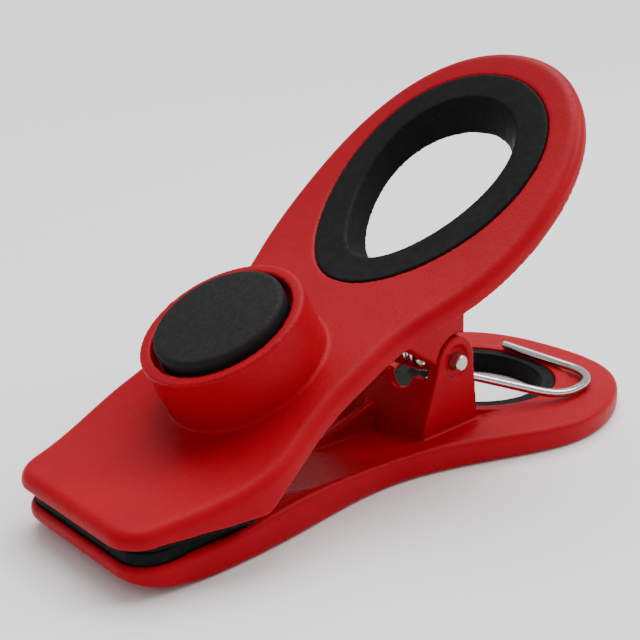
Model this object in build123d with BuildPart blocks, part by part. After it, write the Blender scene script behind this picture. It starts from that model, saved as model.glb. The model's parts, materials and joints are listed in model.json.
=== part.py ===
"""Spring-loaded bag clip: two plastic levers on a pin, rubber jaws, rubber finger holes and a magnet.

The lower lever rests on the ground plane. X runs from the jaw tip to the handles, Y along the pin, Z is up.
"""
from build123d import *
import math
import os

# ---- overall size ----
LENGTH = 104.0          # jaw tip to the end of the lower handle
TIP = -LENGTH / 2       # X of the jaw tip
REACH = 60.0            # longer than any width or height, for cutting tools

# ---- jaws ----
JAW_END = 18.5          # where the rubber strips stop, from the tip
LEDGE_Z = 4.6           # top of the lower jaw
LEDGE_SLOPE = 0.2       # the ledge falls this far to the tip and rises this far to the heel
BITE_Z = 6.25           # where the two rubber strips meet
CEILING_Z = 7.7         # underside of the upper jaw, at its pocket
LIP_Z = 7.0             # the same at the tip
HEEL_Z = 7.9            # and at the strip's inner end
PAD_SEAT = 0.8          # how deep each strip sits in its pocket
PAD_INSET = 0.9         # red rim left outside the lower strip
UPPER_INSET = 1.6       # the same for the upper strip
PAD_GAP = 0.05          # the strips just clear each other
PAD_NOSE = 1.0          # rounding of the strip's inner end

# ---- upper lever ----
WALL = 3.2
# (along, height) of the top line, which runs on past the rounded end
SHELL_TOP = [
    (0, 9.3),
    (10, 10.7),
    (19.5, 13.6),
    (27, 17.5),
    (36, 22.2),
    (50, 28.9),
    (64, 37.6),
    (78, 48.9),
    (93, 63.3),
]
UNDER_START = (3.2, 10.6)   # where the underside leaves the jaw's heel, from JAW_END and the ground
WAIST = 36.0            # narrowest place, from the tip
WAIST_Z = 22.2          # height of the lever's top there
GRIP_ANGLE = 35.0       # mean slope of the upper handle, degrees
HANDLE_RUN = 64.8       # waist to the end of the handle, along the slope
FRONT_HALF = 15.7
CORNER = 5.5
JAW_HALF = 19.8
JAW_HALF_AT = 21.0      # where the jaw is widest, from the tip
WAIST_HALF = 18.2
HANDLE_OUTLINE = [(17, 22.1), (34, 24.9), (50.5, 21.6)]     # (from the waist along the slope, half width)
UPPER_CORNER_ARC = 75   # degrees
OVERLAP = 3.0           # the upright and the tilted outline overlap this far either side of the waist
TOP_EDGE = 1.7          # rounding of the outer edges

# ---- magnet cup ----
CUP_AT = 30.1
CUP_Z = 20.4
CUP_ANGLE = 26.9        # slope of the cup's rim, degrees
CUP_R = 12.5
CUP_HEIGHT = 7.6
CUP_RECESS_R = 10.7
CUP_RECESS = 2.6
MAGNET_R = 9.9
MAGNET_THICK = 3.6
GLUE_THICK = 0.3
GLUE_INSET = 0.5
MAGNET_EDGE = 0.7

# ---- finger holes ----
GRIP_CENTRE = 36.7      # middle of the upper grip, from the waist along the slope
GRIP_LONG = 22.6
GRIP_WIDE = 18.2
GRIP_TAPER = 2.8        # how much wider the grip is towards the handle's end
HOLE_LONG = 15.0
HOLE_WIDE = 10.8
HOLE_TAPER = 2.6
CREST = 3.6             # flat rubber rim before the funnel
GRIP_DEEP = 7.0         # inner end of the rubber tube, below the chord of the handle
LINER_OUT = 2.4         # wall of the rubber tube inside the hole
FLANGE_DEPTH = 1.2
RIM_PROUD = 0.15        # the rubber rim stands this far out of the plastic
RIM_SHARES = [0.38, 0.46, 0.54, 0.62, 0.7, 0.78, 0.86, 0.94, 1]     # places along the top line
UNDER_SHARES = [0.35, 0.5, 0.75, 1]                                 # the same, for the underside
LOWER_HOLE_AT = 80.5
LOWER_HOLE_LONG = 11.4
LOWER_HOLE_WIDE = 11.8
LOWER_TAPER = 0.6
COLLAR = 2.0

# ---- lower lever ----
FLOOR_MID = 2.0         # least thickness, in the middle of the dished floor
DISH_AT = 62.0          # deepest place, from the tip
DISH_ACROSS = 55.0      # radius of the dish across the lever
DISH_ALONG = 330.0      # radius of the dish along the lever
DISH_ARC = 9.0
ROOT_Z = 1.2            # ears, wall and rib start inside the floor
COLLAR_TOP = 4.1
LINER_TOP = 3.8
LOWER_RIM = 5.0         # rubber rim in the underside, outside the hole
LOW_FRONT_HALF = 15.5
LOW_FRONT = 0.8         # the lower jaw stops this far behind the upper one
LOW_JAW_HALF = 15.9
LOW_OUTLINE = [(25, LOW_JAW_HALF), (46, 14.9), (62.5, 19.9), (79, 25.1), (98.5, 17.3)]  # (along, half width)
LOWER_CORNER_ARC = 82   # degrees
CROWN = [(24, 5.3), (35, 5.1), (50, 4.5), (70, 4.1), (104, 3.5)]    # (along, height) of the top
LOW_TOP_EDGE = 1.0
LOW_UNDER_EDGE = 1.0
SLED = 12.0             # the underside of the tip rises over this length
SLED_RISE = 2.3

# ---- pivot ----
PIN_AT = 62.6
PIN_Z = 14.5
PIN_R = 1.25
PIN_HALF = 13.2
PIN_CHAMFER = 0.2
RUNNING = 0.08          # radial clearance of the upper lever on the pin
EAR_R = 4.1
EAR_OUT = 12.0
EAR_THICK = 2.0
EAR_TILT = 5.0          # degrees
EAR_FRONT = 53.9
EAR_BACK = 68.1
CROSS_WALL = 1.6
RIB_THICK = 1.6         # rib along the middle of the floor, in front of the wall
RIB_LONG = 18.0
RIB_TOP = 7.0
WALL_TOP = 12.2
NOTCH_AT = 4.6          # middle of each coil notch in the cross wall
NOTCH_R = 2.4
SEAT_R = 2.6            # shallow round recess in the ear's outer face
SEAT_DEPTH = 0.45
LUG_GAP = 0.15
LUG_THICK = 1.9
LUG_R = 3.3
EAR_CLEAR = 0.5
LUG_LOW = math.radians(173)    # the root block's hollow runs round the ear between these directions
LUG_HIGH = math.radians(66)
BLOCK_THICK = 4.0
BLOCK_OUTLINE = [(-14.0, 7.1), (-15.0, 12.0), (1.2, 20.8)]      # (along, up) from the pin
LUG_OUTLINE = [(-7, 7), (-6, 15.8), (1.2, 20.3)]

# ---- spring ----
WIRE_R = 0.72
COIL_IN = 1.75
COIL_HALF = 5.6
HOOK_Z = 4.9            # centre of the wire where it lies on the lower handle
HOOK_CORNERS = [(81.5, -18.4), (93.2, -17.6), (94.6, 4.2)]     # (from the tip, side)
HOOK_BENDS = [11.0, 7.0]
UPPER_LEG_ANGLE = 124.0
UPPER_LEG = 13.0


def oval(centre, long, wide, taper, count=24):
    """Points of an egg shaped ring, broad towards +X."""
    points = []
    for step in range(count):
        turn = 2 * math.pi * step / count
        half = wide + taper * math.cos(turn)
        points.append((centre + long * math.cos(turn), half * math.sin(turn)))
    return points


def egg(centre, long, wide, taper):
    """A closed egg shaped face in the open sketch."""
    ring = [Vector(x, y) for x, y in oval(centre, long, wide, taper)]
    make_face(Edge.make_spline(ring, periodic=True))


def lower_egg(margin):
    """The lower finger hole's outline, grown by a margin."""
    egg(TIP + LOWER_HOLE_AT, LOWER_HOLE_LONG + margin, LOWER_HOLE_WIDE + margin, LOWER_TAPER)


def strip(start, front_half, back_half):
    """Plan of a jaw strip: it widens a little from the tip to its rounded inner end."""
    corners = [
        (TIP + start, -front_half),
        (TIP + start, front_half),
        (TIP + JAW_END, back_half),
        (TIP + JAW_END, -back_half),
    ]
    make_face(Wire.make_polygon([Vector(*corner) for corner in corners]).edges())
    fillet(vertices().sort_by(Axis.X)[:2], CORNER - PAD_INSET)


def shell_point(index):
    """A point of the upper lever's top line, placed along X."""
    along, height = SHELL_TOP[index]
    return (TIP + along, height)


def tilted(along, height, degrees, side=0.0):
    """A plane whose normal leans back towards the jaw by the given angle."""
    lean = math.radians(degrees)
    return Plane(
        origin=(TIP + along, side, height),
        x_dir=(math.cos(lean), 0, math.sin(lean)),
        z_dir=(-math.sin(lean), 0, math.cos(lean)),
    )


PIN_X = TIP + PIN_AT
UPPER_STRIP_HALF = JAW_HALF - UPPER_INSET - 0.4     # half width at the strip's inner end
SLOPE = tilted(WAIST, WAIST_Z, GRIP_ANGLE)
CUP = tilted(CUP_AT, CUP_Z, CUP_ANGLE)
FRONT = Plane.XZ.offset(-REACH / 2)     # side profiles start here and are extruded towards -Y

os.makedirs("parts", exist_ok=True)

# ---- upper lever: outline prism, upright at the jaw and square to the slope at the handle ----
with BuildPart() as upper_outline:
    with BuildSketch(Plane.XY):
        with BuildLine():
            Line((TIP, 0), (TIP, FRONT_HALF - CORNER))
            corner = JernArc((TIP, FRONT_HALF - CORNER), (0, 1), CORNER, -UPPER_CORNER_ARC)
            Spline(
                corner @ 1,
                (TIP + JAW_HALF_AT, JAW_HALF),
                (TIP + WAIST - OVERLAP, WAIST_HALF),
                tangents=[corner % 1, (1, 0)],
            )
            Polyline(
                (TIP + WAIST - OVERLAP, WAIST_HALF),
                (TIP + WAIST + OVERLAP, WAIST_HALF),
                (TIP + WAIST + OVERLAP, 0),
                (TIP, 0),
            )
        make_face()
        mirror(about=Plane.XZ)
    extrude(amount=REACH)
    with BuildSketch(SLOPE):
        with BuildLine():
            waist_edge = (OVERLAP, WAIST_HALF)
            Polyline(waist_edge, (-OVERLAP, WAIST_HALF), (-OVERLAP, 0), (HANDLE_RUN, 0))
            Spline(waist_edge, *HANDLE_OUTLINE, (HANDLE_RUN, 0), tangents=[(1, 0.02), (0, -1)])
        make_face()
        mirror(about=Plane.XZ)
    extrude(amount=REACH / 4, both=True)

# ---- the layer of the upper handle that the rubber rim fills, standing slightly proud ----
with BuildPart() as rim_layer:
    with BuildSketch(FRONT):
        with BuildLine():
            handle_top = Spline(*[shell_point(i) for i in range(len(SHELL_TOP))], mode=Mode.PRIVATE)
            proud = []
            sunk = []
            for share in RIM_SHARES:
                across = Vector(-(handle_top % share).Y, (handle_top % share).X)
                proud.append((handle_top @ share) + across * RIM_PROUD)
                sunk.append((handle_top @ share) - across * FLANGE_DEPTH)
            Spline(*proud)
            Spline(*sunk)
            Line(proud[0], sunk[0])
            Line(proud[-1], sunk[-1])
        make_face()
    extrude(amount=REACH)

with BuildPart() as rim_seat:
    with BuildSketch(SLOPE.offset(-REACH / 4)):
        egg(GRIP_CENTRE, GRIP_LONG, GRIP_WIDE, GRIP_TAPER)
    extrude(amount=REACH / 2)
    add(rim_layer.part, mode=Mode.INTERSECT)

# ---- upper lever ----
HEEL = (TIP + JAW_END + UNDER_START[0], UNDER_START[1])
with BuildPart() as upper_lever:
    with BuildSketch(FRONT):
        with BuildLine():
            top = Spline(*[shell_point(i) for i in range(len(SHELL_TOP))])
            inner = []
            for share in UNDER_SHARES:
                across = Vector(-(top % share).Y, (top % share).X)
                inner.append((top @ share) - across * WALL)
            under = Spline(HEEL, *inner)
            Line(top @ 1, under @ 1)
            Polyline(HEEL, (TIP + JAW_END, HEEL_Z), (TIP, LIP_Z), top @ 0)
        make_face()
    extrude(amount=REACH)
    add(upper_outline.part, mode=Mode.INTERSECT)
    fillet(faces().sort_by(SortBy.AREA)[-1].edges(), TOP_EDGE)

    # magnet cup, standing on the shell
    with BuildSketch(CUP.offset(-OVERLAP)):
        Circle(CUP_R)
    extrude(amount=CUP_HEIGHT + OVERLAP)
    with BuildSketch(CUP.offset(CUP_HEIGHT - CUP_RECESS)):
        Circle(CUP_RECESS_R)
    extrude(amount=CUP_RECESS, mode=Mode.SUBTRACT)

    # pocket for the rubber strip
    with BuildSketch(Plane.XY.offset(CEILING_Z + PAD_SEAT)):
        strip(UPPER_INSET, FRONT_HALF - UPPER_INSET, UPPER_STRIP_HALF)
    extrude(amount=-OVERLAP, mode=Mode.SUBTRACT)

    # lugs with their root blocks
    for side in (1, -1):
        with BuildSketch(Plane.XZ.offset(-side * EAR_OUT)):
            with BuildLine():
                clear = EAR_R + EAR_CLEAR
                low = (PIN_X + clear * math.cos(LUG_LOW), PIN_Z + clear * math.sin(LUG_LOW))
                high = (PIN_X + clear * math.cos(LUG_HIGH), PIN_Z + clear * math.sin(LUG_HIGH))
                CenterArc((PIN_X, PIN_Z), clear, math.degrees(LUG_HIGH), math.degrees(LUG_LOW - LUG_HIGH))
                Polyline(low, *[(PIN_X + along, PIN_Z + up) for along, up in BLOCK_OUTLINE], high)
            make_face()
        extrude(amount=side * BLOCK_THICK)
        with BuildSketch(Plane.XZ.offset(-side * (EAR_OUT - EAR_THICK - LUG_GAP))):
            with BuildLine():
                Polyline(
                    (PIN_X - LUG_R, PIN_Z),
                    *[(PIN_X + along, PIN_Z + up) for along, up in LUG_OUTLINE],
                    (PIN_X + LUG_R, PIN_Z),
                )
                CenterArc((PIN_X, PIN_Z), LUG_R, 0, -180)
            make_face()
        extrude(amount=side * LUG_THICK)
    with BuildSketch(Plane.XZ.offset(-REACH / 2)):
        with Locations((PIN_X, PIN_Z)):
            Circle(PIN_R + RUNNING)
    extrude(amount=REACH, mode=Mode.SUBTRACT)

    # finger hole: a shallow seat for the rubber rim, then the way through
    add(rim_seat.part, mode=Mode.SUBTRACT)
    with BuildSketch(SLOPE.offset(-REACH / 3)):
        egg(GRIP_CENTRE, HOLE_LONG + LINER_OUT, HOLE_WIDE + LINER_OUT, HOLE_TAPER)
    extrude(amount=REACH, mode=Mode.SUBTRACT)
upper_lever.part.label = "upper_lever"

export_step(upper_lever.part, "parts/upper_lever.step")


# ---- upper finger grip: rim, funnel and a short tube that stands out of the inner face ----
with BuildPart() as upper_grip:
    with BuildSketch(SLOPE.offset(-GRIP_DEEP)):
        egg(GRIP_CENTRE, HOLE_LONG + LINER_OUT, HOLE_WIDE + LINER_OUT, HOLE_TAPER)
    extrude(until=Until.NEXT, target=rim_seat.part)
    add(rim_seat.part)
    with BuildSketch(SLOPE.offset(1)):
        egg(GRIP_CENTRE, GRIP_LONG - CREST, GRIP_WIDE - CREST, GRIP_TAPER)
    with BuildSketch(SLOPE.offset(-GRIP_DEEP)):
        egg(GRIP_CENTRE, HOLE_LONG, HOLE_WIDE, HOLE_TAPER)
    loft(mode=Mode.SUBTRACT)
upper_grip.part.label = "upper_grip"
export_step(upper_grip.part, "parts/upper_grip.step")

# ---- lower lever ----
with BuildPart() as lower_lever:
    # side profile: sled shaped tip, flat underside, thicker over the jaw's heel
    with BuildSketch(FRONT):
        with BuildLine():
            nose = Line((TIP + LOW_FRONT, SLED_RISE), (TIP + LOW_FRONT, LEDGE_Z - LEDGE_SLOPE))
            ledge = Line(nose @ 1, (TIP + JAW_END, LEDGE_Z + LEDGE_SLOPE))
            crown = Spline(ledge @ 1, *[(TIP + along, height) for along, height in CROWN])
            Polyline(crown @ 1, (TIP + LENGTH, 0), (TIP + LOW_FRONT + SLED, 0))
            ThreePointArc(
                (TIP + LOW_FRONT + SLED, 0),
                (TIP + LOW_FRONT + SLED / 2, SLED_RISE / 4),
                nose @ 0,
            )
        make_face()
    extrude(amount=REACH)
    with BuildSketch(Plane.XY):
        with BuildLine():
            lower_corner = (TIP + LOW_FRONT, LOW_FRONT_HALF - CORNER)
            Line((TIP + LOW_FRONT, 0), lower_corner)
            bend = JernArc(lower_corner, (0, 1), CORNER, -LOWER_CORNER_ARC)
            Spline(
                bend @ 1,
                *[(TIP + along, half) for along, half in LOW_OUTLINE],
                (TIP + LENGTH, 0),
                tangents=[bend % 1, (0, -1)],
            )
            Line((TIP + LENGTH, 0), (TIP + LOW_FRONT, 0))
        make_face()
        mirror(about=Plane.XZ)
    extrude(amount=REACH, mode=Mode.INTERSECT)
    crease = TIP + JAW_END
    low_edges = edges().filter_by(lambda edge: edge.center().Z < SLED_RISE and abs(edge.center().Y) > 1)
    fillet(low_edges, LOW_UNDER_EDGE)
    above = faces().filter_by(lambda face: face.normal_at().Z > 0.7)
    fillet([edge for edge in above.edges() if abs(edge.center().X - crease) > 0.1], LOW_TOP_EDGE)

    # the floor is dished: a shallow valley that is longer than it is wide
    for arc in (-DISH_ARC, DISH_ARC):
        with BuildSketch(Plane.YZ.offset(TIP + DISH_AT)):
            with Locations((0, FLOOR_MID + DISH_ACROSS)):
                Circle(DISH_ACROSS)
        revolve(
            axis=Axis((TIP + DISH_AT, 0, FLOOR_MID + DISH_ALONG), (0, 1, 0)),
            revolution_arc=arc,
            mode=Mode.SUBTRACT,
        )

    # pivot ears with a shallow round seat for the pin's end
    for side in (1, -1):
        with BuildSketch(Plane.XZ.offset(-side * EAR_OUT)):
            with BuildLine():
                crest = CenterArc((PIN_X, PIN_Z), EAR_R, -EAR_TILT, 180)
                Polyline(crest @ 0, (TIP + EAR_BACK, ROOT_Z), (TIP + EAR_FRONT, ROOT_Z), crest @ 1)
            make_face()
        extrude(amount=side * EAR_THICK)
        with BuildSketch(Plane.XZ.offset(-side * EAR_OUT)):
            with Locations((PIN_X, PIN_Z)):
                Circle(SEAT_R)
        extrude(amount=side * SEAT_DEPTH, mode=Mode.SUBTRACT)

    # cross wall along the ears' front edges, notched for the coil, and a rib in front of it
    with BuildSketch(Plane.XZ.offset(-EAR_OUT)):
        with BuildLine():
            rise = ((crest @ 1).Y - ROOT_Z) / ((crest @ 1).X - TIP - EAR_FRONT)
            wall_top_x = TIP + EAR_FRONT + (WALL_TOP - ROOT_Z) / rise
            Polyline(
                (TIP + EAR_FRONT, ROOT_Z),
                (TIP + EAR_FRONT + CROSS_WALL, ROOT_Z),
                (wall_top_x + CROSS_WALL, WALL_TOP),
                (wall_top_x, WALL_TOP),
                close=True,
            )
        make_face()
    extrude(amount=2 * EAR_OUT)
    with BuildSketch(Plane.YZ.offset(TIP + EAR_FRONT)):
        with Locations((-NOTCH_AT, WALL_TOP), (NOTCH_AT, WALL_TOP)):
            Circle(NOTCH_R)
    extrude(amount=EAR_BACK - EAR_FRONT, mode=Mode.SUBTRACT)
    with BuildSketch(Plane.XZ.offset(-RIB_THICK / 2)):
        with BuildLine():
            Polyline(
                (TIP + EAR_FRONT - RIB_LONG, ROOT_Z),
                (TIP + EAR_FRONT + CROSS_WALL / 2, ROOT_Z),
                (TIP + EAR_FRONT + CROSS_WALL / 2 + (RIB_TOP - ROOT_Z) / rise, RIB_TOP),
                close=True,
            )
        make_face()
    extrude(amount=RIB_THICK)

    # finger hole with a raised collar, and a seat for the rubber rim in the underside
    with BuildSketch(Plane.XY.offset(ROOT_Z)):
        lower_egg(LINER_OUT + COLLAR)
    extrude(amount=COLLAR_TOP - ROOT_Z)
    with BuildSketch(Plane.XY.offset(-1)):
        lower_egg(LINER_OUT)
    extrude(amount=REACH / 4, mode=Mode.SUBTRACT)
    with BuildSketch(Plane.XY):
        lower_egg(LOWER_RIM)
    extrude(amount=FLANGE_DEPTH, mode=Mode.SUBTRACT)

    # pocket for the rubber strip
    with BuildSketch(Plane.XY.offset(LEDGE_Z - PAD_SEAT)):
        strip(LOW_FRONT + PAD_INSET, LOW_FRONT_HALF - PAD_INSET, LOW_JAW_HALF - PAD_INSET)
    extrude(amount=OVERLAP, mode=Mode.SUBTRACT)

    # bores for the pin
    with BuildSketch(Plane.XZ.offset(-EAR_OUT)):
        with Locations((PIN_X, PIN_Z)):
            Circle(PIN_R)
    extrude(amount=2 * EAR_OUT, mode=Mode.SUBTRACT)
lower_lever.part.label = "lower_lever"
export_step(lower_lever.part, "parts/lower_lever.step")

# ---- lower finger grip ----
with BuildPart() as lower_grip:
    with BuildSketch(Plane.XY):
        lower_egg(LOWER_RIM)
    extrude(amount=FLANGE_DEPTH)
    with BuildSketch(Plane.XY):
        lower_egg(LINER_OUT)
    extrude(amount=LINER_TOP)
    with BuildSketch(Plane.XY.offset(-1)):
        lower_egg(0)
    extrude(amount=REACH / 4, mode=Mode.SUBTRACT)
lower_grip.part.label = "lower_grip"
export_step(lower_grip.part, "parts/lower_grip.step")

# ---- rubber strips in the jaws ----
with BuildPart() as lower_jaw_pad:
    with BuildSketch(Plane.XY.offset(LEDGE_Z - PAD_SEAT)):
        strip(LOW_FRONT + PAD_INSET, LOW_FRONT_HALF - PAD_INSET, LOW_JAW_HALF - PAD_INSET)
    extrude(amount=BITE_Z - PAD_GAP / 2 - LEDGE_Z + PAD_SEAT)
    fillet(edges().filter_by(Axis.Z).sort_by(Axis.X)[-2:], PAD_NOSE)
lower_jaw_pad.part.label = "lower_jaw_pad"
export_step(lower_jaw_pad.part, "parts/lower_jaw_pad.step")

with BuildPart() as upper_jaw_pad:
    with BuildSketch(Plane.XY.offset(BITE_Z + PAD_GAP / 2)):
        strip(UPPER_INSET, FRONT_HALF - UPPER_INSET, UPPER_STRIP_HALF)
    extrude(amount=CEILING_Z + PAD_SEAT - BITE_Z - PAD_GAP / 2)
    fillet(edges().filter_by(Axis.Z).sort_by(Axis.X)[-2:], PAD_NOSE)
upper_jaw_pad.part.label = "upper_jaw_pad"
export_step(upper_jaw_pad.part, "parts/upper_jaw_pad.step")

# ---- magnet on its film of glue ----
CUP_FLOOR = CUP_HEIGHT - CUP_RECESS
with BuildPart() as magnet_adhesive:
    with BuildSketch(CUP.offset(CUP_FLOOR)):
        Circle(MAGNET_R - GLUE_INSET)
    extrude(amount=GLUE_THICK)
magnet_adhesive.part.label = "magnet_adhesive"
export_step(magnet_adhesive.part, "parts/magnet_adhesive.step")

with BuildPart() as magnet:
    with BuildSketch(CUP.offset(CUP_FLOOR + GLUE_THICK)):
        Circle(MAGNET_R)
    extrude(amount=MAGNET_THICK)
    fillet(edges().filter_by(GeomType.CIRCLE), MAGNET_EDGE)
magnet.part.label = "magnet"
export_step(magnet.part, "parts/magnet.step")

# ---- pivot pin ----
with BuildPart() as pivot_pin:
    with BuildSketch(Plane.XZ.offset(-PIN_HALF)):
        with Locations((PIN_X, PIN_Z)):
            Circle(PIN_R)
    extrude(amount=2 * PIN_HALF)
    chamfer(edges().filter_by(GeomType.CIRCLE), PIN_CHAMFER)
pivot_pin.part.label = "pivot_pin"
export_step(pivot_pin.part, "parts/pivot_pin.step")

# ---- torsion spring: coil on the pin, a hook round the lower collar, a leg under the upper handle ----
COIL_MEAN = COIL_IN + WIRE_R
with BuildPart() as torsion_spring:
    with BuildSketch(Plane.XZ.offset(-COIL_HALF)):
        with Locations((PIN_X, PIN_Z)):
            Circle(COIL_IN + 2 * WIRE_R)
            Circle(COIL_IN, mode=Mode.SUBTRACT)
    extrude(amount=2 * COIL_HALF)
    with BuildLine() as hook_line:
        FilletPolyline(
            (PIN_X, WIRE_R - COIL_HALF, PIN_Z - COIL_MEAN),
            *[(TIP + along, side, HOOK_Z) for along, side in HOOK_CORNERS],
            radius=HOOK_BENDS,
        )
    with BuildSketch(Plane(origin=hook_line.line @ 0, z_dir=hook_line.line % 0)):
        Circle(WIRE_R)
    sweep(path=hook_line.line)
    lean = math.radians(UPPER_LEG_ANGLE)
    leg_way = Vector(math.cos(lean), 0, math.sin(lean))
    leg_start = Vector(PIN_X, COIL_HALF - WIRE_R, PIN_Z) + Vector(leg_way.Z, 0, -leg_way.X) * COIL_MEAN
    with BuildSketch(Plane(origin=leg_start, z_dir=leg_way)):
        Circle(WIRE_R)
    extrude(amount=UPPER_LEG)
torsion_spring.part.label = "torsion_spring"
export_step(torsion_spring.part, "parts/torsion_spring.step")
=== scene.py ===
"""Bag clip: two red moulded levers on a steel pin, black rubber jaws and finger grips, a round magnet.

The CAD model is the frame. Every plastic, rubber and magnet piece is an evenly remeshed copy of its CAD node
with softened, moulded edges, and the wire spring is built here turn by turn. Lengths are metres.
"""

import json
import math

import bpy
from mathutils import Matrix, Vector


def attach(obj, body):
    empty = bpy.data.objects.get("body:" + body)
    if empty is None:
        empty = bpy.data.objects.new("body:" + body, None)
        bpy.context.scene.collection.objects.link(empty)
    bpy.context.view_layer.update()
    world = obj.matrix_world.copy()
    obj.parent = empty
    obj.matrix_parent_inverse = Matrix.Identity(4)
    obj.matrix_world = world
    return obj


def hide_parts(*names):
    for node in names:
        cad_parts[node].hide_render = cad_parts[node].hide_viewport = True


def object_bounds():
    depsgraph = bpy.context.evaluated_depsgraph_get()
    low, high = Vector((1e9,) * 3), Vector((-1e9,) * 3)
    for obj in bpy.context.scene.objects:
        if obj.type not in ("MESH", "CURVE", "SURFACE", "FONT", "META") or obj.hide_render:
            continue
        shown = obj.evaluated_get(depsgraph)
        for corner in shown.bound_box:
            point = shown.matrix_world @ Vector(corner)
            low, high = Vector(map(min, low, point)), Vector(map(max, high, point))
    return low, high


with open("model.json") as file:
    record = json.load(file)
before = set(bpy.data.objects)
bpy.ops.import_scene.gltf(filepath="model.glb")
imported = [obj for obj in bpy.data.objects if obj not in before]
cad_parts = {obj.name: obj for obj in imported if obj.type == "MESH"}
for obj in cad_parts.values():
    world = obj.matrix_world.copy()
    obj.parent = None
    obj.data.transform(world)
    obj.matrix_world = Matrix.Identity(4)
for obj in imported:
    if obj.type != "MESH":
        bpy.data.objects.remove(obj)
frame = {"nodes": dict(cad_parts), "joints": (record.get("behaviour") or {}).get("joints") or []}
cad_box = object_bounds()

MM = 0.001
LOWER = "lower"
UPPER = "upper"
PIVOT = next(joint for joint in frame["joints"] if joint["name"] == "lever_pivot")
PIN = Vector(PIVOT["pos_m"])
TIP_X = cad_box[0][0]

# ---- camera, lights and floor ----
SENSOR = 36                 # mm
LENS = 61.51                # mm
CAMERA_PLACE = (-0.11005, -0.11712, 0.07523)
CAMERA_TURN = (71.457, 1.705, -41.956)      # degrees
WHITE = (1, 1, 1, 1)
WORLD_STRENGTH = 0.6
SKY_WAY = (0.35, 0.25, 1.0)
SKY_STRENGTH = 3.0
SKY_SPREAD = 50             # degrees
KEY_WAY = (0.62, -0.4, 0.64)
KEY_DISTANCE = 0.6
KEY_SIZE = 0.25
KEY_POWER = 1.6
KEY_AIM = (0, 0, 0.025)
FLOOR_HALF = 3.0
PAPER = (0.97, 0.97, 0.97)
PAPER_ROUGHNESS = 0.9

# ---- colours ----
RED = (0.36, 0.0006, 0.009)
RED_DARK = (0.34, 0.0005, 0.0085)
RED_LIGHT = (0.38, 0.0008, 0.0095)
BLACK = (0.004, 0.004, 0.0042)
BLACK_LIGHT = (0.006, 0.006, 0.0062)
LINT = (0.02, 0.02, 0.02)
FERRITE = (0.006, 0.0057, 0.0057)
FERRITE_LIGHT = (0.009, 0.0085, 0.0085)
GLUE = (0.5, 0.48, 0.42)
GLUE_DARK = (0.42, 0.4, 0.34)
GLUE_LIGHT = (0.55, 0.53, 0.47)
STEEL = (0.55, 0.53, 0.51)
STEEL_DARK = (0.42, 0.4, 0.39)
STEEL_LIGHT = (0.62, 0.6, 0.58)
WIRE = (0.62, 0.6, 0.57)
WIRE_DARK = (0.5, 0.48, 0.45)
WIRE_LIGHT = (0.68, 0.66, 0.63)

# ---- remeshing: cell size and rounds of smoothing ----
LEVER_VOXEL = 0.24 * MM
LEVER_ROUNDS = 14
GRIP_VOXEL = 0.2 * MM
GRIP_ROUNDS = 12
STRIP_VOXEL = 0.3 * MM
STRIP_ROUNDS = 5
MAGNET_VOXEL = 0.25 * MM
MAGNET_ROUNDS = 6
SMOOTH_FACTOR = 0.5
MOST_TRIANGLES = 180000     # in one piece

# ---- spring ----
WIRE_RADIUS = 0.72 * MM
WIRE_ROUNDNESS = 8          # bevel resolution of the wire's section
LEG_SWELL = 1.004           # the leg's wire is a hair thicker, so the two wires never share a surface
COIL_MEAN = 2.47 * MM       # radius of the coil's centre line
COIL_REACH = 4.88 * MM      # centre of the first and last turn, from the middle
COIL_TURNS = 6
STEPS_A_TURN = 28
LEG_STEPS = 24              # coil steps that belong to the leg's piece
SHARED_STEPS = 4            # coil steps where the two pieces lie in each other
LEG_LEAN = 124              # degrees
LEG_LONG = 12.6 * MM
HOOK_HEIGHT = 4.9 * MM
HOOK_CORNERS = [
    Vector((TIP_X + 81.5 * MM, -18.4 * MM, HOOK_HEIGHT)),
    Vector((TIP_X + 93.2 * MM, -17.6 * MM, HOOK_HEIGHT)),
    Vector((TIP_X + 94.6 * MM, 4.2 * MM, HOOK_HEIGHT)),
]
HOOK_BENDS = [11.0 * MM, 7.0 * MM]
BEND_STEPS = 14


# ---- studio ----
def make_camera():
    data = bpy.data.cameras.new("camera")
    data.sensor_width = SENSOR
    data.lens = LENS
    camera = bpy.data.objects.new("camera", data)
    camera.location = CAMERA_PLACE
    camera.rotation_euler = [math.radians(angle) for angle in CAMERA_TURN]
    bpy.context.collection.objects.link(camera)
    bpy.context.scene.camera = camera


def aimed(name, data, way):
    """A lamp that shines from the given direction towards the clip."""
    lamp = bpy.data.objects.new(name, data)
    lamp.rotation_euler = (-way).to_track_quat("-Z", "Y").to_euler()
    bpy.context.collection.objects.link(lamp)
    return lamp


def make_lights():
    """An even white world, a wide soft sky from above and one softbox at the right."""
    world = bpy.data.worlds.new("studio")
    world.use_nodes = True
    background = world.node_tree.nodes["Background"]
    background.inputs["Color"].default_value = WHITE
    background.inputs["Strength"].default_value = WORLD_STRENGTH
    bpy.context.scene.world = world

    sky = bpy.data.lights.new("sky", "SUN")
    sky.energy = SKY_STRENGTH
    sky.angle = math.radians(SKY_SPREAD)
    aimed("sky", sky, Vector(SKY_WAY))

    key = bpy.data.lights.new("key", "AREA")
    key.size = KEY_SIZE
    key.energy = KEY_POWER
    way = Vector(KEY_WAY).normalized()
    aimed("key", key, way).location = Vector(KEY_AIM) + way * KEY_DISTANCE


def make_floor():
    mesh = bpy.data.meshes.new("floor")
    corners = [(x * FLOOR_HALF, y * FLOOR_HALF, 0) for x, y in ((-1, -1), (1, -1), (1, 1), (-1, 1))]
    mesh.from_pydata(corners, [], [(0, 1, 2, 3)])
    mesh.materials.append(painted("paper", PAPER, PAPER_ROUGHNESS))
    floor = bpy.data.objects.new("floor", mesh)
    bpy.context.collection.objects.link(floor)


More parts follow.
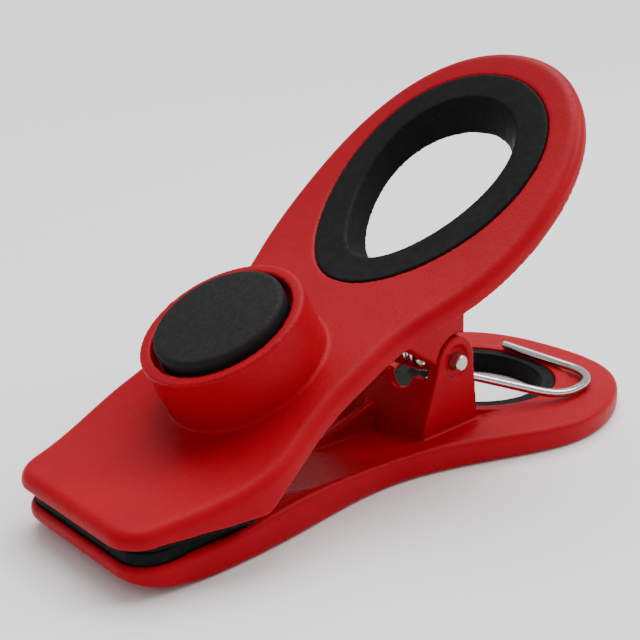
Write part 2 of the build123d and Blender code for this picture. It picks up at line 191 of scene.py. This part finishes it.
# ---- materials ----
def painted(name, colour, roughness, metallic=0.0):
    """A new material with plain numbers on its shader, ready for its own texture nodes."""
    material = bpy.data.materials.new(name)
    material.use_nodes = True
    shader = material.node_tree.nodes["Principled BSDF"]
    shader.inputs["Base Color"].default_value = (*colour, 1)
    shader.inputs["Roughness"].default_value = roughness
    shader.inputs["Metallic"].default_value = metallic
    return material


class Finish:
    """Adds texture nodes in object space to a material."""

    def __init__(self, name, colour, roughness, metallic=0.0, specular=0.5):
        self.material = painted(name, colour, roughness, metallic)
        self.nodes = self.material.node_tree.nodes
        self.links = self.material.node_tree.links
        self.shader = self.nodes["Principled BSDF"]
        self.shader.inputs["Specular IOR Level"].default_value = specular
        self.place = self.nodes.new("ShaderNodeTexCoord").outputs["Object"]
        self.height = None

    def noise(self, cell, detail=2.0, stretch=(1, 1, 1)):
        """Cloudy noise whose blobs are about one cell wide."""
        mapping = self.nodes.new("ShaderNodeMapping")
        mapping.inputs["Scale"].default_value = [share / cell for share in stretch]
        texture = self.nodes.new("ShaderNodeTexNoise")
        texture.inputs["Scale"].default_value = 1.0
        texture.inputs["Detail"].default_value = detail
        self.links.new(self.place, mapping.inputs["Vector"])
        self.links.new(mapping.outputs["Vector"], texture.inputs["Vector"])
        return texture.outputs["Fac"]

    def spread(self, value, low, high, start=0.3, end=0.7):
        """Maps start..end of a value to low..high."""
        node = self.nodes.new("ShaderNodeMapRange")
        node.inputs["From Min"].default_value = start
        node.inputs["From Max"].default_value = end
        node.inputs["To Min"].default_value = low
        node.inputs["To Max"].default_value = high
        self.links.new(value, node.inputs["Value"])
        return node.outputs["Result"]

    def mixed(self, value, light):
        """A colour mix that is light where the value is one; its other colour is left open."""
        mix = self.nodes.new("ShaderNodeMix")
        mix.data_type = "RGBA"
        mix.inputs[7].default_value = (*light, 1)
        self.links.new(value, mix.inputs[0])
        return mix

    def tint(self, value, dark, light):
        """Cloudy base colour between two tones."""
        mix = self.mixed(self.spread(value, 0, 1), light)
        mix.inputs[6].default_value = (*dark, 1)
        return mix.outputs[2]

    def speckle(self, colour, value, fleck):
        """Scatters flecks of another colour over a colour where the value is one."""
        mix = self.mixed(value, fleck)
        self.links.new(colour, mix.inputs[6])
        return mix.outputs[2]

    def colour(self, value):
        self.links.new(value, self.shader.inputs["Base Color"])

    def roughness(self, value):
        self.links.new(value, self.shader.inputs["Roughness"])

    def bump(self, value, depth):
        """Raises the surface by up to a depth; a second call is added to the first."""
        node = self.nodes.new("ShaderNodeBump")
        node.inputs["Distance"].default_value = depth
        self.links.new(value, node.inputs["Height"])
        if self.height is not None:
            self.links.new(self.height, node.inputs["Normal"])
        self.height = node.outputs["Normal"]
        self.links.new(self.height, self.shader.inputs["Normal"])


def red_plastic(name):
    """Satin moulded plastic with a fine spark-eroded grain."""
    finish = Finish(name, RED, roughness=0.4, specular=0.08)
    finish.colour(finish.tint(finish.noise(cell=9 * MM, detail=3), RED_DARK, RED_LIGHT))
    finish.roughness(finish.spread(finish.noise(cell=0.8 * MM, detail=3), low=0.36, high=0.5))
    finish.bump(finish.noise(cell=0.28 * MM), depth=0.035 * MM)
    finish.bump(finish.noise(cell=2.2 * MM), depth=0.03 * MM)
    return finish.material


def black_rubber(name):
    """Matt rubber with a fine grain and a little lint."""
    finish = Finish(name, BLACK, roughness=0.6, specular=0.08)
    tone = finish.tint(finish.noise(cell=5 * MM, detail=4), BLACK, BLACK_LIGHT)
    lint = finish.spread(finish.noise(cell=0.5 * MM), low=0, high=1, start=0.7, end=0.76)
    finish.colour(finish.speckle(tone, lint, LINT))
    finish.roughness(finish.spread(finish.noise(cell=1.2 * MM, detail=3), low=0.5, high=0.68))
    finish.bump(finish.noise(cell=0.22 * MM, detail=3), depth=0.03 * MM)
    return finish.material


def ferrite(name):
    """Sintered magnet: dull, slightly mottled, with fine pits."""
    finish = Finish(name, FERRITE, roughness=0.7, specular=0.18)
    finish.colour(finish.tint(finish.noise(cell=1.6 * MM, detail=5), FERRITE, FERRITE_LIGHT))
    finish.roughness(finish.spread(finish.noise(cell=0.6 * MM, detail=3), low=0.6, high=0.8))
    finish.bump(finish.noise(cell=0.3 * MM, detail=4), depth=0.03 * MM)
    return finish.material


def glue(name):
    """Cured glue: cloudy, with a wavy skin."""
    finish = Finish(name, GLUE, roughness=0.5)
    finish.colour(finish.tint(finish.noise(cell=1.5 * MM, detail=3), GLUE_DARK, GLUE_LIGHT))
    finish.bump(finish.noise(cell=1 * MM, detail=3), depth=0.05 * MM)
    return finish.material


def cut_steel(name):
    """Cut pin: fine scratches across the end and along the shank."""
    finish = Finish(name, STEEL, roughness=0.35, metallic=1.0)
    lines = finish.noise(cell=0.12 * MM, detail=3, stretch=(1, 0.15, 1))
    finish.colour(finish.tint(lines, STEEL_DARK, STEEL_LIGHT))
    finish.roughness(finish.spread(lines, low=0.26, high=0.46))
    finish.bump(lines, depth=0.008 * MM)
    return finish.material


def spring_wire(name):
    """Drawn wire: polished, with faint streaks."""
    finish = Finish(name, WIRE, roughness=0.18, metallic=1.0)
    streaks = finish.noise(cell=0.35 * MM, detail=4)
    finish.colour(finish.tint(streaks, WIRE_DARK, WIRE_LIGHT))
    finish.roughness(finish.spread(streaks, low=0.12, high=0.26))
    finish.bump(streaks, depth=0.004 * MM)
    return finish.material


# ---- pieces made from CAD nodes ----
def applied(piece):
    """Replaces a piece's mesh with what its modifiers make of it."""
    bpy.context.view_layer.update()
    shaped = piece.evaluated_get(bpy.context.evaluated_depsgraph_get())
    piece.data = bpy.data.meshes.new_from_object(shaped)
    piece.modifiers.clear()


def moulded(node, name, body, material, voxel, rounds):
    """An evenly meshed copy of a CAD node, with its edges softened by rounds of smoothing."""
    piece = bpy.data.objects.new(name, frame["nodes"][node].data.copy())
    bpy.context.collection.objects.link(piece)
    even = piece.modifiers.new("even", "REMESH")
    even.mode = "VOXEL"
    even.voxel_size = voxel
    soft = piece.modifiers.new("soft", "SMOOTH")
    soft.factor = SMOOTH_FACTOR
    soft.iterations = rounds
    applied(piece)
    triangles = 2 * len(piece.data.polygons)
    if triangles > MOST_TRIANGLES:
        fewer = piece.modifiers.new("fewer", "DECIMATE")
        fewer.ratio = MOST_TRIANGLES / triangles
        applied(piece)
    piece.data.materials.clear()
    piece.data.materials.append(material)
    piece.data.shade_smooth()
    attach(piece, body)
    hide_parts(node)


# ---- spring ----
def wire(name, points, radius, body, material):
    """A round wire along points, as a closed mesh."""
    data = bpy.data.curves.new(name, "CURVE")
    data.dimensions = "3D"
    data.bevel_depth = radius
    data.bevel_resolution = WIRE_ROUNDNESS
    data.use_fill_caps = True
    spline = data.splines.new("POLY")
    spline.points.add(len(points) - 1)
    for point, place in zip(spline.points, points):
        point.co = (*place, 1)
    guide = bpy.data.objects.new(name + "_guide", data)
    bpy.context.collection.objects.link(guide)
    bpy.context.view_layer.update()
    mesh = bpy.data.meshes.new_from_object(guide.evaluated_get(bpy.context.evaluated_depsgraph_get()))
    bpy.data.objects.remove(guide)
    piece = bpy.data.objects.new(name, mesh)
    bpy.context.collection.objects.link(piece)
    mesh.materials.clear()
    mesh.materials.append(material)
    mesh.shade_smooth()
    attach(piece, body)
    return piece


def coil_point(turn, side):
    """A point of the coil's centre line; turn is in radians from straight below the pin, towards the jaw."""
    return PIN + Vector((-COIL_MEAN * math.sin(turn), side, -COIL_MEAN * math.cos(turn)))


def rounded(corners, bends):
    """A path of straight runs through corners, with an arc of the given radius at each inner corner."""
    path = [corners[0]]
    for before, corner, after, bend in zip(corners, corners[1:], corners[2:], bends):
        back = (before - corner).normalized()
        on = (after - corner).normalized()
        half = back.angle(on) / 2
        centre = corner + (back + on).normalized() * (bend / math.sin(half))
        start = corner + back * (bend / math.tan(half))
        end = corner + on * (bend / math.tan(half))
        for step in range(BEND_STEPS + 1):
            arm = (start - centre).slerp(end - centre, step / BEND_STEPS)
            path.append(centre + arm.normalized() * bend)
    return path + [corners[-1]]


def make_spring():
    """The coil and hook stay with the lower lever; most of the last turn and the leg go with the upper."""
    material = spring_wire("spring_wire")
    start = coil_point(0, -COIL_REACH)
    hook = rounded([start, *HOOK_CORNERS], HOOK_BENDS)
    leg_turn = math.radians(360 * COIL_TURNS + 180 - LEG_LEAN)
    steps = COIL_TURNS * STEPS_A_TURN
    shares = [step / steps for step in range(steps + 1)]
    coil = [coil_point(leg_turn * share, COIL_REACH * (2 * share - 1)) for share in shares]
    still = coil[1:SHARED_STEPS - LEG_STEPS]
    wire("spring_coil_with_hook", list(reversed(hook)) + still, WIRE_RADIUS, LOWER, material)
    tangent = (coil[-1] - coil[-2]).normalized()
    tangent.y = 0
    leg = coil[-LEG_STEPS:] + [coil[-1] + tangent.normalized() * LEG_LONG]
    piece = wire("spring_short_leg", leg, WIRE_RADIUS * LEG_SWELL, UPPER, material)
    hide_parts("torsion_spring")


make_camera()
make_lights()
make_floor()

lower_red = red_plastic("lower_plastic")
upper_red = red_plastic("upper_plastic")
rubber = black_rubber("rubber")
magnet = ferrite("ferrite")

for node, name, body, slot, material, voxel, rounds in (
    ("lower_lever", "lower_lever_moulding", LOWER, "lower_plastic", lower_red, LEVER_VOXEL, LEVER_ROUNDS),
    ("upper_lever", "upper_lever_moulding", UPPER, "upper_plastic", upper_red, LEVER_VOXEL, LEVER_ROUNDS),
    ("lower_grip", "lower_grip_liner", LOWER, "lower_grip_rubber", rubber, GRIP_VOXEL, GRIP_ROUNDS),
    ("upper_grip", "upper_grip_liner", UPPER, "upper_grip_rubber", rubber, GRIP_VOXEL, GRIP_ROUNDS),
    ("lower_jaw_pad", "lower_pad_strip", LOWER, "lower_pad_rubber", rubber, STRIP_VOXEL, STRIP_ROUNDS),
    ("upper_jaw_pad", "upper_pad_strip", UPPER, "upper_pad_rubber", rubber, STRIP_VOXEL, STRIP_ROUNDS),
    ("magnet", "magnet_disc", UPPER, "magnet_ferrite", magnet, MAGNET_VOXEL, MAGNET_ROUNDS),
):
    moulded(node, name, body, material, voxel, rounds)

for node, material in (
    ("magnet_adhesive", glue("glue")),
    ("pivot_pin", cut_steel("cut_steel")),
):
    frame["nodes"][node].data.materials.clear()
    frame["nodes"][node].data.materials.append(material)

make_spring()
